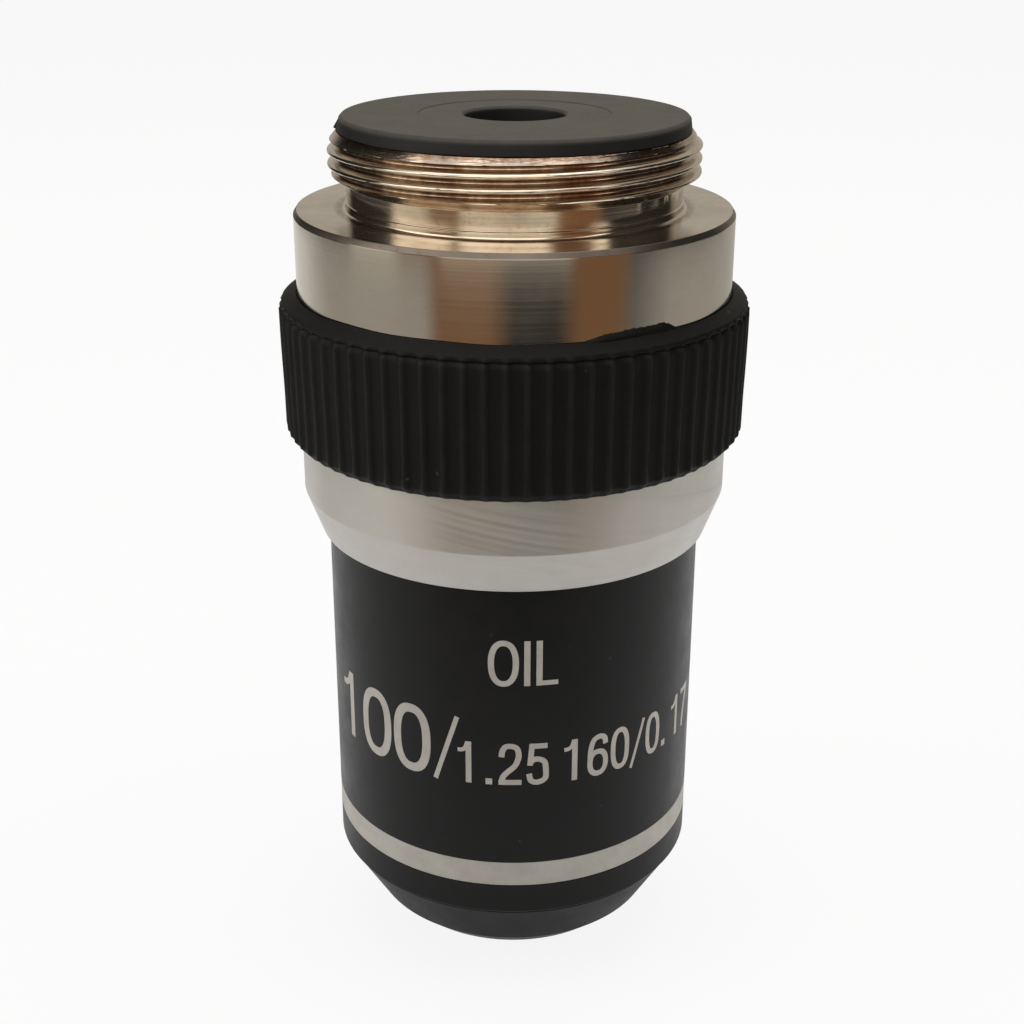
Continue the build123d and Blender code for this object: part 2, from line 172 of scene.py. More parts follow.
def millimetres(tree):
    """Object coordinates in millimetres: the point, x, y, z and the distance from the axis."""
    place = tree.nodes.new("ShaderNodeTexCoord")
    scale = tree.nodes.new("ShaderNodeVectorMath")
    scale.operation = "SCALE"
    scale.inputs["Scale"].default_value = 1000
    tree.links.new(place.outputs["Object"], scale.inputs[0])
    split = node(tree, "ShaderNodeSeparateXYZ", Vector=scale.outputs[0])
    flat = tree.nodes.new("ShaderNodeVectorMath")
    flat.operation = "MULTIPLY"
    flat.inputs[1].default_value = (1, 1, 0)
    tree.links.new(scale.outputs[0], flat.inputs[0])
    length = tree.nodes.new("ShaderNodeVectorMath")
    length.operation = "LENGTH"
    tree.links.new(flat.outputs[0], length.inputs[0])
    x, y, z = (split.outputs[axis] for axis in "XYZ")
    return scale.outputs[0], x, y, z, length.outputs["Value"]


def turned_lines(tree, radius, height, fine, stretch=0.02, angle=None):
    """Fine rings such as a lathe tool leaves: noise over radius and height."""
    parts = {"X": maths(tree, "MULTIPLY", radius, fine), "Y": maths(tree, "MULTIPLY", height, fine)}
    if angle is not None:
        parts["Z"] = maths(tree, "MULTIPLY", angle, stretch * fine)
    joined = node(tree, "ShaderNodeCombineXYZ", **parts)
    return noise(tree, joined.outputs[0], 1.0, 2.0, 0.6)


def noise(tree, point, scale, detail, roughness):
    return node(tree, "ShaderNodeTexNoise", Vector=point, Scale=scale, Detail=detail,
                Roughness=roughness).outputs["Fac"]


def azimuth(tree, x, y):
    made = tree.nodes.new("ShaderNodeMath")
    made.operation = "ARCTAN2"
    tree.links.new(x, made.inputs[0])
    flip = maths(tree, "MULTIPLY", y, -1.0)
    tree.links.new(flip, made.inputs[1])
    return made.outputs[0]


def mapped(tree, value, low, high, to_low, to_high):
    made = node(tree, "ShaderNodeMapRange", Value=value)
    for name, number in (("From Min", low), ("From Max", high), ("To Min", to_low), ("To Max", to_high)):
        made.inputs[name].default_value = number
    return made.outputs["Result"]


def mixed(tree, factor, a, b):
    made = tree.nodes.new("ShaderNodeMix")
    made.data_type = "RGBA"
    for socket, value in (("Factor", factor), ("A", a), ("B", b)):
        target = [i for i in made.inputs if i.name == socket and i.enabled][0]
        if isinstance(value, bpy.types.NodeSocket):
            tree.links.new(value, target)
        elif isinstance(value, tuple):
            target.default_value = (*value, 1)
        else:
            target.default_value = value
    return [o for o in made.outputs if o.enabled][0]


def bump(tree, bsdf, height, distance_mm, strength=1.0):
    made = node(tree, "ShaderNodeBump", Height=height, Strength=strength, Distance=distance_mm * MM)
    tree.links.new(made.outputs[0], bsdf.inputs["Normal"])


def metal(name, color, dark, roughness, lines, line_depth, aniso=0.0, stain=0.25, wobble=0.06, slant=0.0,
          roots=None):
    """Turned metal: fine rings in its bump and roughness, and a slow change of tone from handling.
    A slant leans the rings like the marks of a hand-fed tool; roots is the radius below which the
    thread's roots are painted darker brown: painted shade, mottled like dirt."""
    mat, tree, bsdf = material(name, color, metallic=1.0, roughness=roughness, aniso=aniso)
    point, x, y, z, radius = millimetres(tree)
    angle = azimuth(tree, x, y)
    height = maths(tree, "ADD", z, maths(tree, "MULTIPLY", angle, slant)) if slant else z
    rings = turned_lines(tree, radius, height, lines, angle=angle)
    cloud = noise(tree, point, 0.35, 4.0, 0.65)
    spots = noise(tree, point, 2.2, 3.0, 0.7)
    tone = maths(tree, "MULTIPLY", mapped(tree, cloud, 0.35, 0.75, 0.0, 1.0), stain)
    spotted = maths(tree, "MULTIPLY", mapped(tree, spots, 0.58, 0.8, 0.0, 1.0), stain)
    tone = maths(tree, "ADD", tone, spotted, clamp=True)
    shade = mixed(tree, tone, color, dark)
    if roots:
        # painted shade in the thread roots: darker brown towards the root radius, mottled like dirt
        deep = maths(tree, "MULTIPLY", mapped(tree, radius, roots - 0.05, roots + 0.22, 1.0, 0.0),
                     maths(tree, "GREATER_THAN", radius, roots - 0.3))
        root_dirt_and_shade = maths(tree, "MULTIPLY", deep, mapped(tree, spots, 0.35, 0.6, 0.45, 0.9))
        shade = mixed(tree, root_dirt_and_shade, shade, (0.22, 0.105, 0.05))
    tree.links.new(shade, bsdf.inputs["Base Color"])
    rough = maths(tree, "ADD", mapped(tree, rings, 0.3, 0.7, roughness - wobble, roughness + wobble),
                  mapped(tree, cloud, 0.4, 0.7, 0.0, wobble))
    tree.links.new(rough, bsdf.inputs["Roughness"])
    bump(tree, bsdf, rings, line_depth)
    return mat


nickel = metal("nickel_bright", (0.60, 0.53, 0.44), (0.32, 0.22, 0.14), 0.14, 9.0, 0.0015, stain=0.5,
               wobble=0.04, roots=9.75)
satin = metal("nickel_satin", (0.50, 0.47, 0.43), (0.42, 0.36, 0.30), 0.13, 14.0, 0.0003, aniso=0.3,
              stain=0.3, wobble=0.02)
# painted shade: a darkened copy of the nickel for the flange's top chamfer
edge = metal("nickel_edge_painted_dark", (0.15, 0.13, 0.11), (0.08, 0.06, 0.05), 0.35, 12.0, 0.0005, stain=0.5)
collar_metal = metal("nickel_collar", (0.52, 0.50, 0.46), (0.44, 0.41, 0.37), 0.33, 5.0, 0.004, aniso=0.5,
                     stain=0.3,
                     wobble=0.05, slant=2.4)
steel = metal("steel_tip", (0.55, 0.54, 0.52), (0.38, 0.35, 0.32), 0.25, 12.0, 0.003, stain=0.25)
brass = metal("brass_turned", (0.60, 0.43, 0.19), (0.36, 0.24, 0.10), 0.30, 10.0, 0.004, stain=0.3)
wire = metal("spring_wire", (0.42, 0.42, 0.42), (0.28, 0.26, 0.24), 0.32, 6.0, 0.002, stain=0.2)
black_brass = metal("brass_blackened", (0.045, 0.04, 0.035), (0.03, 0.025, 0.02), 0.5, 10.0, 0.004,
                    stain=0.3)


def flecks(tree, point, scale, size):
    """Sparse ragged specks of dust."""
    cells = node(tree, "ShaderNodeTexVoronoi", Vector=point, Scale=scale).outputs["Distance"]
    ragged = noise(tree, point, 4.0, 3.0, 0.7)
    edge = maths(tree, "ADD", cells, mapped(tree, ragged, 0.35, 0.65, -0.03, 0.03))
    return mapped(tree, edge, size * 0.4, size, 1.0, 0.0)


def lacquer():
    """Black lacquer over turned metal: dust, faint rings and fine scratches."""
    mat, tree, bsdf = material("lacquer_black", (0.004, 0.004, 0.0038), roughness=0.36, spec=0.2)
    point, x, y, z, radius = millimetres(tree)
    rings = turned_lines(tree, radius, z, 7.0)
    grain = noise(tree, point, 14.0, 3.0, 0.6)
    haze = noise(tree, point, 0.5, 5.0, 0.7)
    fleck = flecks(tree, point, 0.55, 0.05)
    hazy = mapped(tree, haze, 0.35, 0.75, 0.0, 1.0)
    shade = mixed(tree, hazy, (0.0035, 0.0035, 0.0033), (0.0065, 0.006, 0.0054))
    shade = mixed(tree, maths(tree, "MULTIPLY", fleck, 0.4), shade, (0.05, 0.048, 0.044))
    tree.links.new(shade, bsdf.inputs["Base Color"])
    grainy = mapped(tree, grain, 0.3, 0.7, -0.02, 0.02)
    rough = maths(tree, "ADD", mapped(tree, haze, 0.3, 0.7, 0.30, 0.42), grainy)
    tree.links.new(rough, bsdf.inputs["Roughness"])
    joined = maths(tree, "ADD", maths(tree, "MULTIPLY", rings, 0.6), maths(tree, "MULTIPLY", grain, 0.4))
    bump(tree, bsdf, joined, 0.004)
    return mat


def rubber():
    """Moulded rubber: matt, with a fine grain, some dust, a mottled bloom, and painted light on the rib
    crests, which leaves the valleys darker as painted shade.
    """
    mat, tree, bsdf = material("rubber_black", (0.004, 0.004, 0.004), roughness=0.6, spec=0.15)
    point, x, y, z, radius = millimetres(tree)
    grain = noise(tree, point, 9.0, 5.0, 0.7)
    bloom = noise(tree, point, 0.7, 4.0, 0.65)
    # painted light on the rib crests, mottled, so that the valleys between them read as painted shade
    turn = maths(tree, "SUBTRACT", azimuth(tree, x, y), RIB_PHASE)
    rib = maths(tree, "COSINE", maths(tree, "MULTIPLY", turn, float(RIB_COUNT)))
    side = mapped(tree, z, GRIP_TOP - 0.75, GRIP_TOP - 0.5, 1.0, 0.0)
    crest = maths(tree, "MULTIPLY", mapped(tree, rib, 0.25, 0.95, 0.0, 1.0), side)
    bloomed = mapped(tree, bloom, 0.35, 0.75, 0.0, 1.0)
    base = mixed(tree, bloomed, (0.0016, 0.0016, 0.0015), (0.0032, 0.0031, 0.0029))
    rib_crest_light = maths(tree, "MULTIPLY", crest, mapped(tree, bloom, 0.3, 0.7, 0.25, 0.75))
    base = mixed(tree, rib_crest_light, base, (0.011, 0.0108, 0.0103))
    dust = maths(tree, "MULTIPLY", flecks(tree, point, 0.42, 0.05), 0.5)
    tree.links.new(mixed(tree, dust, base, (0.06, 0.058, 0.055)), bsdf.inputs["Base Color"])
    tree.links.new(mapped(tree, grain, 0.3, 0.7, 0.52, 0.68), bsdf.inputs["Roughness"])
    bump(tree, bsdf, grain, 0.012)
    return mat


def moulded():
    """Black plastic of the rear disc: matt, dusty, with faint rings from its mould; its top face is painted
    a lighter warm grey than its black sides, as painted light from above.
    """
    mat, tree, bsdf = material("plastic_black", (0.04, 0.036, 0.03), roughness=0.6, spec=0.25)
    point, x, y, z, radius = millimetres(tree)
    rings = turned_lines(tree, radius, z, 5.0)
    grain = noise(tree, point, 11.0, 5.0, 0.7)
    haze = noise(tree, point, 0.6, 5.0, 0.7)
    # painted light: the top face lighter and warmer than the near-black sides
    top = mapped(tree, z, 49.35, 49.6, 0.0, 1.0)
    hazy = mapped(tree, haze, 0.35, 0.75, 0.0, 1.0)
    shade = mixed(tree, hazy, (0.045, 0.038, 0.029), (0.062, 0.053, 0.041))
    tree.links.new(mixed(tree, top, (0.004, 0.004, 0.004), shade), bsdf.inputs["Base Color"])
    tree.links.new(mapped(tree, grain, 0.3, 0.7, 0.5, 0.66), bsdf.inputs["Roughness"])
    joined = maths(tree, "ADD", maths(tree, "MULTIPLY", rings, 0.3), maths(tree, "MULTIPLY", grain, 0.7))
    bump(tree, bsdf, joined, 0.01)
    return mat


def enamel():
    """Pale enamel of the band and the figures: a filled groove with tiny pits."""
    mat, tree, bsdf = material("enamel_pale", (0.38, 0.35, 0.31), roughness=0.45, spec=0.4)
    point, x, y, z, radius = millimetres(tree)
    grain = noise(tree, point, 6.0, 5.0, 0.7)
    haze = noise(tree, point, 0.8, 3.0, 0.6)
    shade = mixed(tree, mapped(tree, haze, 0.35, 0.75, 0.0, 1.0), (0.46, 0.43, 0.385), (0.39, 0.36, 0.32))
    tree.links.new(mixed(tree, mapped(tree, grain, 0.6, 0.8, 0.0, 0.5), shade, (0.26, 0.235, 0.205)),
                   bsdf.inputs["Base Color"])
    tree.links.new(mapped(tree, grain, 0.3, 0.7, 0.4, 0.52), bsdf.inputs["Roughness"])
    bump(tree, bsdf, grain, 0.006)
    return mat


def glass(name, color):
    mat, tree, bsdf = material(name, color, roughness=0.02)
    bsdf.inputs["Transmission Weight"].default_value = 1.0
    bsdf.inputs["IOR"].default_value = 1.52
    return mat


lacquer_black = lacquer()
rubber_black = rubber()
plastic_black = moulded()
enamel_pale = enamel()
crown_glass = glass("glass_crown", (0.93, 0.97, 0.97))
flint_glass = glass("glass_flint", (0.97, 0.96, 0.9))


# Turned pieces

def thread_form(r, z, theta):
    """Screw thread with a rounded crest and root, cut off by the undercut below and a chamfer above."""
    rise = z - SHOULDER
    phase = (rise - THREAD_PHASE) / THREAD_PITCH - theta / (2 * math.pi)
    wave = np.cos(2 * math.pi * phase)
    ridge = 0.5 + 0.5 * wave * (1.25 - 0.25 * wave**2)
    screw = THREAD_RADIUS - THREAD_DEPTH * (1 - ridge)
    lower = NECK_RADIUS + 1.7 * (rise - 1.42)
    upper = THREAD_RADIUS - 0.82 * (rise - 3.52)
    cut = np.maximum(NECK_RADIUS, np.minimum(np.minimum(screw, lower), upper))
    outside = (r > NECK_RADIUS - 0.01) & (rise > 1.3) & (rise < 4.14)
    nick = rng.normal(0, 1, r.shape) * 0.004
    return np.where(outside, cut + nick * (ridge > 0.9), r), z


def mount_piece():
    rise = np.arange(1.35, 4.14, 0.026)
    screw = [(NECK_RADIUS, SHOULDER + v) for v in rise]
    section = rounded([
        (9.6, 34.0), (10.6, 34.0), (10.6, 39.7), (FLANGE_RADIUS, 39.7),
        (FLANGE_RADIUS, SHOULDER - 0.26, 0.05), (FLANGE_RADIUS - 0.17, SHOULDER, 0.05),
        (NECK_RADIUS + 0.07, SHOULDER, 0.16), (NECK_RADIUS + 0.07, SHOULDER + 0.38, 0.03),
        (NECK_RADIUS, SHOULDER + 0.42, 0.03), *screw, (9.55, SHOULDER + 4.15),
        (8.0, SHOULDER + 4.15), (8.0, 43.6), (9.6, 43.6),
    ])
    obj = lathe("mount_threaded", section, 384, "housing", ["thread_mount"], thread_form)
    for mat in (nickel, satin, edge):
        obj.data.materials.append(mat)
    centres = np.zeros(len(obj.data.polygons) * 3)
    obj.data.polygons.foreach_get("center", centres)
    x, y, z = centres.reshape(-1, 3).T / MM
    flange = z < SHOULDER - 0.001
    # the flange's top chamfer takes the darkened nickel, painted shade
    chamfer = flange & (z > SHOULDER - 0.27) & (np.hypot(x, y) > FLANGE_RADIUS - 0.2)
    obj.data.polygons.foreach_set("material_index", (flange.astype(np.int32) + chamfer))
    return obj


def disc_form(r, z, theta):
    """Moulding burr on the disc's lower rim, and a slightly uneven edge."""
    edge = r > 9.2
    turn = np.degrees(theta)
    burr = 0.24 * np.exp(-(((turn - 181) / 1.8) ** 2)) + 0.09 * np.exp(-(((turn - 186) / 2.5) ** 2))
    low = np.exp(-(((z - 48.9) / 0.2) ** 2))
    uneven = 0.012 * np.sin(7 * theta + 1) + 0.008 * np.sin(19 * theta)
    return r + np.where(edge, burr * low + uneven * 0.6, 0), z + np.where(edge & (z < 49), uneven, 0)


def rear_disc_piece():
    top = 49.65
    section = rounded([
        (2.75, 47.35), (8.0, 47.35), (8.0, 48.83), (9.58, 48.85, 0.04), (9.5, top - 0.17, 0.1),
        (9.34, top, 0.12),
        (5.24, top, 0.02), (5.2, top - 0.045, 0.02), (5.12, top - 0.03, 0.02), (2.9, top - 0.03, 0.05),
        (2.75, top - 0.16, 0.05),
    ])
    obj = lathe("stop_disc", section, 256, "housing", ["rear_stop_disc"], disc_form)
    obj.data.materials.append(plastic_black)
    return obj


def grip_form(r, z, theta):
    """Narrow upright ribs that start on the smooth shoulder and run over the lower bevel."""
    crest = (0.5 + 0.5 * np.cos(RIB_COUNT * (theta + math.pi / 2 - RIB_PHASE))) ** 2.5
    outer = r > 12.35
    start = np.clip((GRIP_TOP - 0.36 - z) / 0.6, 0, 1)
    start = start * start * (3 - 2 * start)
    foot = 0.4 + 0.6 * np.clip((z - GRIP_BOTTOM) / 0.8, 0, 1)
    valley = RIB_HEIGHT * (1 - crest) * start * foot
    sway = 0.012 * np.sin(3 * theta + 0.4 * z) + 0.01 * np.sin(11 * theta + 1.1 * z)
    lift = np.where(z > GRIP_TOP - 0.3, 0.025 * np.sin(5 * theta) + 0.02 * np.sin(13 * theta + 1), 0)
    return r - np.where(outer, valley, 0) + np.where(outer, sway, 0), z + lift


def grip_piece():
    """Rubber ring; its side and bevel are cut into short rows, so that the ribs can fade in and out."""
    side = [(GRIP_RADIUS - 0.11 * v / 7, 39.3 - v) for v in np.arange(0, 6.5, 0.25)]
    bevel = [(13.05 - v, 32.5 - v) for v in (0.02, 0.12, 0.24, 0.36, 0.45)]
    section = np.concatenate([
        rounded([(11.4, 39.7), (12.125, 39.7), (12.125, GRIP_TOP - 0.1), (12.2, GRIP_TOP, 0.05),
                 (12.97, 39.77, 0.2), (GRIP_RADIUS, 39.45, 0.12)]),
        side, [(13.055, 32.66), (13.04, 32.56)], bevel, [(12.5, 32.0), (11.4, 32.0)],
    ])
    obj = lathe("grip_ribbed", section, RIB_COUNT * 14, "housing", ["grip_ring"], grip_form,
                sharp=math.radians(60))
    obj.data.materials.append(rubber_black)
    return obj


def flash_piece():
    """Ragged moulding flash that stands up from the grip's lip against the flange."""
    turns = np.linspace(17, 43, 79)
    knots = ((17, 0), (19, 0.12), (22, 0.33), (25, 0.36), (29.5, 0.48), (34, 0.44), (38.5, 0.52),
             (40.5, 0.3), (43, 0))
    height = np.interp(turns, [k[0] for k in knots], [k[1] for k in knots])
    height = 0.8 * height * (1 + rng.normal(0, 0.07, len(turns))) + 0.02
    verts, faces = [], []
    for turn, rise in zip(turns, height):
        a = math.radians(turn - 90)
        for r, z in ((12.13, GRIP_TOP - 0.3), (12.13, GRIP_TOP + rise), (12.19, GRIP_TOP + rise * 0.95),
                     (12.3, GRIP_TOP - 0.08)):
            verts.append((r * math.cos(a), r * math.sin(a), z))
    for i in range(len(turns) - 1):
        for j in range(3):
            faces.append((4 * i + j, 4 * i + 4 + j, 4 * i + 5 + j, 4 * i + 1 + j))
        faces.append((4 * i + 3, 4 * i + 7, 4 * i + 4, 4 * i))
    faces += [(3, 2, 1, 0), tuple(4 * (len(turns) - 1) + j for j in range(4))]
    obj = new_object("grip_flash", verts, faces, "housing")
    obj.data.materials.append(rubber_black)
    return obj


def plain_turned():
    """Collar, sleeve, band, nose cone and tip, with their edges broken."""
    made = [
        ("collar_turned", "collar_body", "satin_nickel", collar_metal, "housing", [
            (10.2, 26.42), (11.27, 26.42, 0.05), (12.17, 28.85, 0.25), (12.17, 31.99, 0.04), (11.4, 32.0),
            (11.4, 39.7),
            (10.6, 39.7), (10.6, 34.0), (9.6, 34.0), (9.6, 31.22), (10.2, 31.22)]),
        ("sleeve_turned", "outer_sleeve", "black_lacquer", lacquer_black, "housing", [
            (9.9, 5.72), (10.69, 5.72, 0.03), (10.83, 5.86, 0.06), (10.83, 7.64, 0.02), (10.79, 7.64),
            (10.79, 9.17),
            (10.83, 9.17, 0.02), (10.83, 26.42), (10.2, 26.42), (10.2, 31.22), (9.6, 31.22), (9.6, 8.82),
            (9.9, 8.82)]),
        ("band_enamel", "marker_band", "pale_enamel", enamel_pale, "housing", [
            (10.73, 7.64), (10.825, 7.645, 0.02), (10.825, 9.165, 0.02), (10.73, 9.17)]),
        ("nose_turned", "nose_cone", "black_lacquer", lacquer_black, "housing", [
            (4.95, 1.38), (7.56, 1.38, 0.1), (8.73, 2.43, 0.12), (10.66, 5.64, 0.06), (10.6, 5.72),
            (9.9, 5.72), (9.9, 8.82),
            (8.0, 8.82), (8.0, 5.72), (6.1, 2.33), (4.95, 2.33)]),
        ("tip_turned", "front_cell", "stainless", steel, "front", [
            (1.0, 0), (3.4, 0, 0.1), (4.85, 1.75, 0.05), (4.85, 3.2), (5.59, 3.2), (5.59, 4.6),
            (4.99, 4.6), (4.99, 6.4),
            (3.4, 6.4), (3.4, 2.6), (2.2, 2.6), (1.0, 0.75)]),
    ]
    for name, cad, slot, mat, body, corners in made:
        obj = lathe(name, rounded(corners), 256, body, [cad], sharp=math.radians(30))
        obj.data.materials.append(mat)


# Figures on the barrel

def smooth(points, steps=6):
    """Rounded line through the points."""
    p = np.array(points, float)
    ends = np.vstack([2 * p[0] - p[1], p, 2 * p[-1] - p[-2]])
    out = []
    for i in range(1, len(ends) - 2):
        a, b, c, d = ends[i - 1:i + 3]
        for k in range(steps):
            t = k / steps
            out.append(0.5 * (2 * b + (c - a) * t + (2 * a - 5 * b + 4 * c - d) * t**2
                              + (3 * b - a - 3 * c + d) * t**3))
    return np.array([*out, p[-1]])


def straight(a, b, steps=6):
    return np.linspace(a, b, steps)


def oval(x, y, half_width, half_height, power=2.35, steps=48):
    t = np.linspace(0, 2 * math.pi, steps, endpoint=False)
    c, s = np.cos(t), np.sin(t)
    return np.stack([x + half_width * np.sign(c) * np.abs(c) ** (2 / power),
                     y + half_height * np.sign(s) * np.abs(s) ** (2 / power)], -1)


def glyph(letter, w, stroke):
    """Strokes of one figure, one unit tall and w wide: (points, closed, width)."""
    h = stroke / 2
    if letter in "0O":
        return [(oval(w / 2, 0.5, w / 2 - h, 0.515 - h, 2.3 if letter == "O" else 2.45), True, stroke)]
    if letter == "1":
        return [(straight((w - h, 0), (w - h, 1)), False, stroke),
                (smooth([(0, 0.775), (w * 0.3, 0.785), (w * 0.55, 0.84), (w - 1.3 * h, 0.99)]), False,
                 stroke * 0.75)]
    if letter == "2":
        arc = [(h, 0.68), (h + 0.02, 0.82), (w * 0.3, 0.925), (w * 0.53, 0.945), (w * 0.78, 0.9),
               (w - h, 0.76),
               (w - h - 0.015, 0.62), (w * 0.7, 0.46), (w * 0.4, 0.32), (w * 0.2, 0.2), (h + 0.01, 0.08)]
        return [(smooth(arc), False, stroke), (straight((0, h), (w, h)), False, stroke)]
    if letter == "5":
        bowl = [(h * 1.3, 0.52), (w * 0.3, 0.6), (w * 0.52, 0.62), (w * 0.8, 0.55), (w - h, 0.35),
                (w * 0.84, 0.14),
                (w * 0.52, 0.055), (w * 0.22, 0.1), (h, 0.27)]
        return [(smooth(bowl), False, stroke), (straight((w * 0.16, 1 - h), (w * 0.93, 1 - h)), False,
                                                stroke),
                (straight((w * 0.26, 0.98), (w * 0.17, 0.47)), False, stroke * 0.95)]
    if letter == "6":
        stem = [(w - h - 0.01, 0.74), (w * 0.8, 0.89), (w * 0.55, 0.945), (w * 0.28, 0.87),
                (h + 0.015, 0.65), (h, 0.36)]
        return [(smooth(stem), False, stroke), (oval(w / 2, 0.315, w / 2 - h, 0.33 - h, 2.3), True, stroke)]
    if letter == "7":
        return [(straight((0, 1 - h), (w, 1 - h)), False, stroke),
                (smooth([(w - h, 0.95), (w * 0.62, 0.62), (w * 0.42, 0.3), (w * 0.34, 0)]), False, stroke)]
    if letter == "/":
        return [(straight((h * 0.6, -0.02), (w - h * 0.6, 0.99)), False, stroke * 0.62)]
    if letter == ".":
        return [(straight((w / 2, 0), (w / 2, w)), False, w)]
    if letter == "I":
        return [(straight((w / 2, 0), (w / 2, 1)), False, stroke)]
    return [(straight((h, 0), (h, 1)), False, stroke), (straight((0, h * 0.85), (w, h * 0.85)), False,
                            stroke * 0.85)]


def figures_piece():
    """Figures as a film of enamel a few hundredths of a millimetre thick, wrapped on the barrel."""
    rows = [
        (20.57, 2.72, 0.34, [("O", -1.38, 1.70), ("I", 0.60, 0.34), ("L", 1.27, 1.22)]),
        (14.33, 4.18, 0.50, [("1", -12.55, 1.42)]),
        (14.33, 4.18, 0.54, [("0", -10.05, 2.55), ("0", -7.30, 2.54)]),
        (14.33, 4.12, 0.46, [("/", -4.62, 1.62)]),
        (14.33, 2.62, 0.33, [("1", -3.12, 0.79), (".", -1.53, 0.38), ("2", -0.80, 1.29),
                             ("5", 0.74, 1.28)]),
        (14.33, 2.62, 0.33, [("1", 2.90, 0.79), ("6", 4.30, 1.33), ("0", 5.80, 1.32)]),
        (14.10, 2.90, 0.33, [("/", 7.18, 1.16)]),
        (14.33, 2.62, 0.33, [("0", 8.44, 1.30), (".", 10.0, 0.38), ("1", 11.04, 0.90), ("7", 12.45, 1.28)]),
    ]
    figures = [(letter, left, width, *row[:3]) for row in rows for letter, left, width in row[3]]
    verts, faces = [], []
    for letter, left, width, base, height, stroke in figures:
        for order, (points, closed, thick) in enumerate(glyph(letter, width / height, stroke / height)):
            before = np.roll(points, 1, 0) if closed else np.vstack([2 * points[0] - points[1],
                                    points[:-1]])
            after = np.roll(points, -1, 0) if closed else np.vstack([points[1:],
                                    2 * points[-1] - points[-2]])
            along = after - before
            along /= np.linalg.norm(along, axis=1)[:, None]
            across = np.stack([-along[:, 1], along[:, 0]], -1) * thick / 2
            first = len(verts)
            for p, n in zip(points, across):
                for (u, v), lift in (((p + n), 0.0), ((p + n * 0.93), 0.012), ((p - n * 0.93), 0.012),
                                     ((p - n), 0.0)):
                    a = (left + u * height) / SLEEVE_RADIUS - math.pi / 2
                    r = SLEEVE_RADIUS + lift + order * 0.001
                    verts.append((r * math.cos(a), r * math.sin(a), base + v * height))
            count = len(points)
            for i in range(count if closed else count - 1):
                here, there = first + 4 * i, first + 4 * ((i + 1) % count)
                faces += [(here + j + 1, here + j, there + j, there + j + 1) for j in range(3)]
            if not closed:
                end = first + 4 * (count - 1)
                faces += [(first + 3, first + 2, first + 1, first), (end, end + 1, end + 2, end + 3)]
    obj = new_object("barrel_figures", verts, faces, "housing")
    obj.data.set_sharp_from_angle(angle=math.radians(30))
    obj.data.materials.append(enamel_pale)
    return obj


mount_piece()
rear_disc_piece()
grip_piece()
flash_piece()
plain_turned()
figures_piece()

# CAD nodes that stay, most of them inside
finishes = {
    "guide_screw": steel, "retraction_spring": wire, "inner_barrel": brass, "parfocal_lock_ring": brass,
    "lens_tube": black_brass, "meniscus_cell": black_brass, "meniscus_retainer": black_brass,
    "doublet_a_cell": black_brass,
    "spacer_tube": black_brass, "doublet_b_cell": black_brass, "retaining_ring": black_brass,
    "front_lens": crown_glass, "meniscus_lens": crown_glass, "doublet_a_crown": crown_glass,
    "doublet_b_crown": crown_glass,
    "doublet_a_flint": flint_glass, "doublet_b_flint": flint_glass,
}
for name, mat in finishes.items():
    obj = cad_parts[name]
    for slot in obj.material_slots:
        slot.material = mat


# Stage, lights and camera

def stage_object(name, verts, faces, mat):
    mesh = bpy.data.meshes.new(name)
    mesh.from_pydata([tuple(v) for v in np.array(verts, float) * MM], [], faces)
    mesh.materials.append(mat)
    obj = bpy.data.objects.new(name, mesh)
    bpy.context.scene.collection.objects.link(obj)
    return obj


def glow_material(name):
    mat = bpy.data.materials.new(name)
    mat.use_nodes = True
    tree = mat.node_tree
    tree.nodes.clear()
    glow = tree.nodes.new("ShaderNodeEmission")
    out = tree.nodes.new("ShaderNodeOutputMaterial")
    tree.links.new(glow.outputs[0], out.inputs[0])
    return mat, tree, glow


def flag_ring(name, low_z, high_z, zones):
    """A ring of studio flags that shows only in what is glossy: (azimuth from the front, colour) round
    the object."""
    mat, tree, glow = glow_material(name)
    point, x, y, z, radius = millimetres(tree)
    turn = mapped(tree, azimuth(tree, x, y), -math.pi, math.pi, 0.0, 1.0)
    ramp = node(tree, "ShaderNodeValToRGB", Fac=turn)
    stops = ramp.color_ramp.elements
    while len(stops) < len(zones):
        stops.new(0.5)
    for stop, (degrees, color) in zip(stops, zones):
        stop.position = (degrees + 180) / 360
        stop.color = (*color, 1)
    tree.links.new(ramp.outputs["Color"], glow.inputs["Color"])
    count = 90
    verts, faces = [], []
    for i in range(count):
        a = 2 * math.pi * i / count
        for height in (low_z, high_z):
            verts.append((FLAG_RADIUS * math.cos(a), FLAG_RADIUS * math.sin(a), height))
        k = (i + 1) % count
        faces.append((2 * i, 2 * k, 2 * k + 1, 2 * i + 1))
    obj = stage_object(name, verts, faces, mat)
    for flag in ("visible_camera", "visible_diffuse", "visible_shadow", "visible_transmission",
                 "visible_volume_scatter"):
        setattr(obj, flag, False)


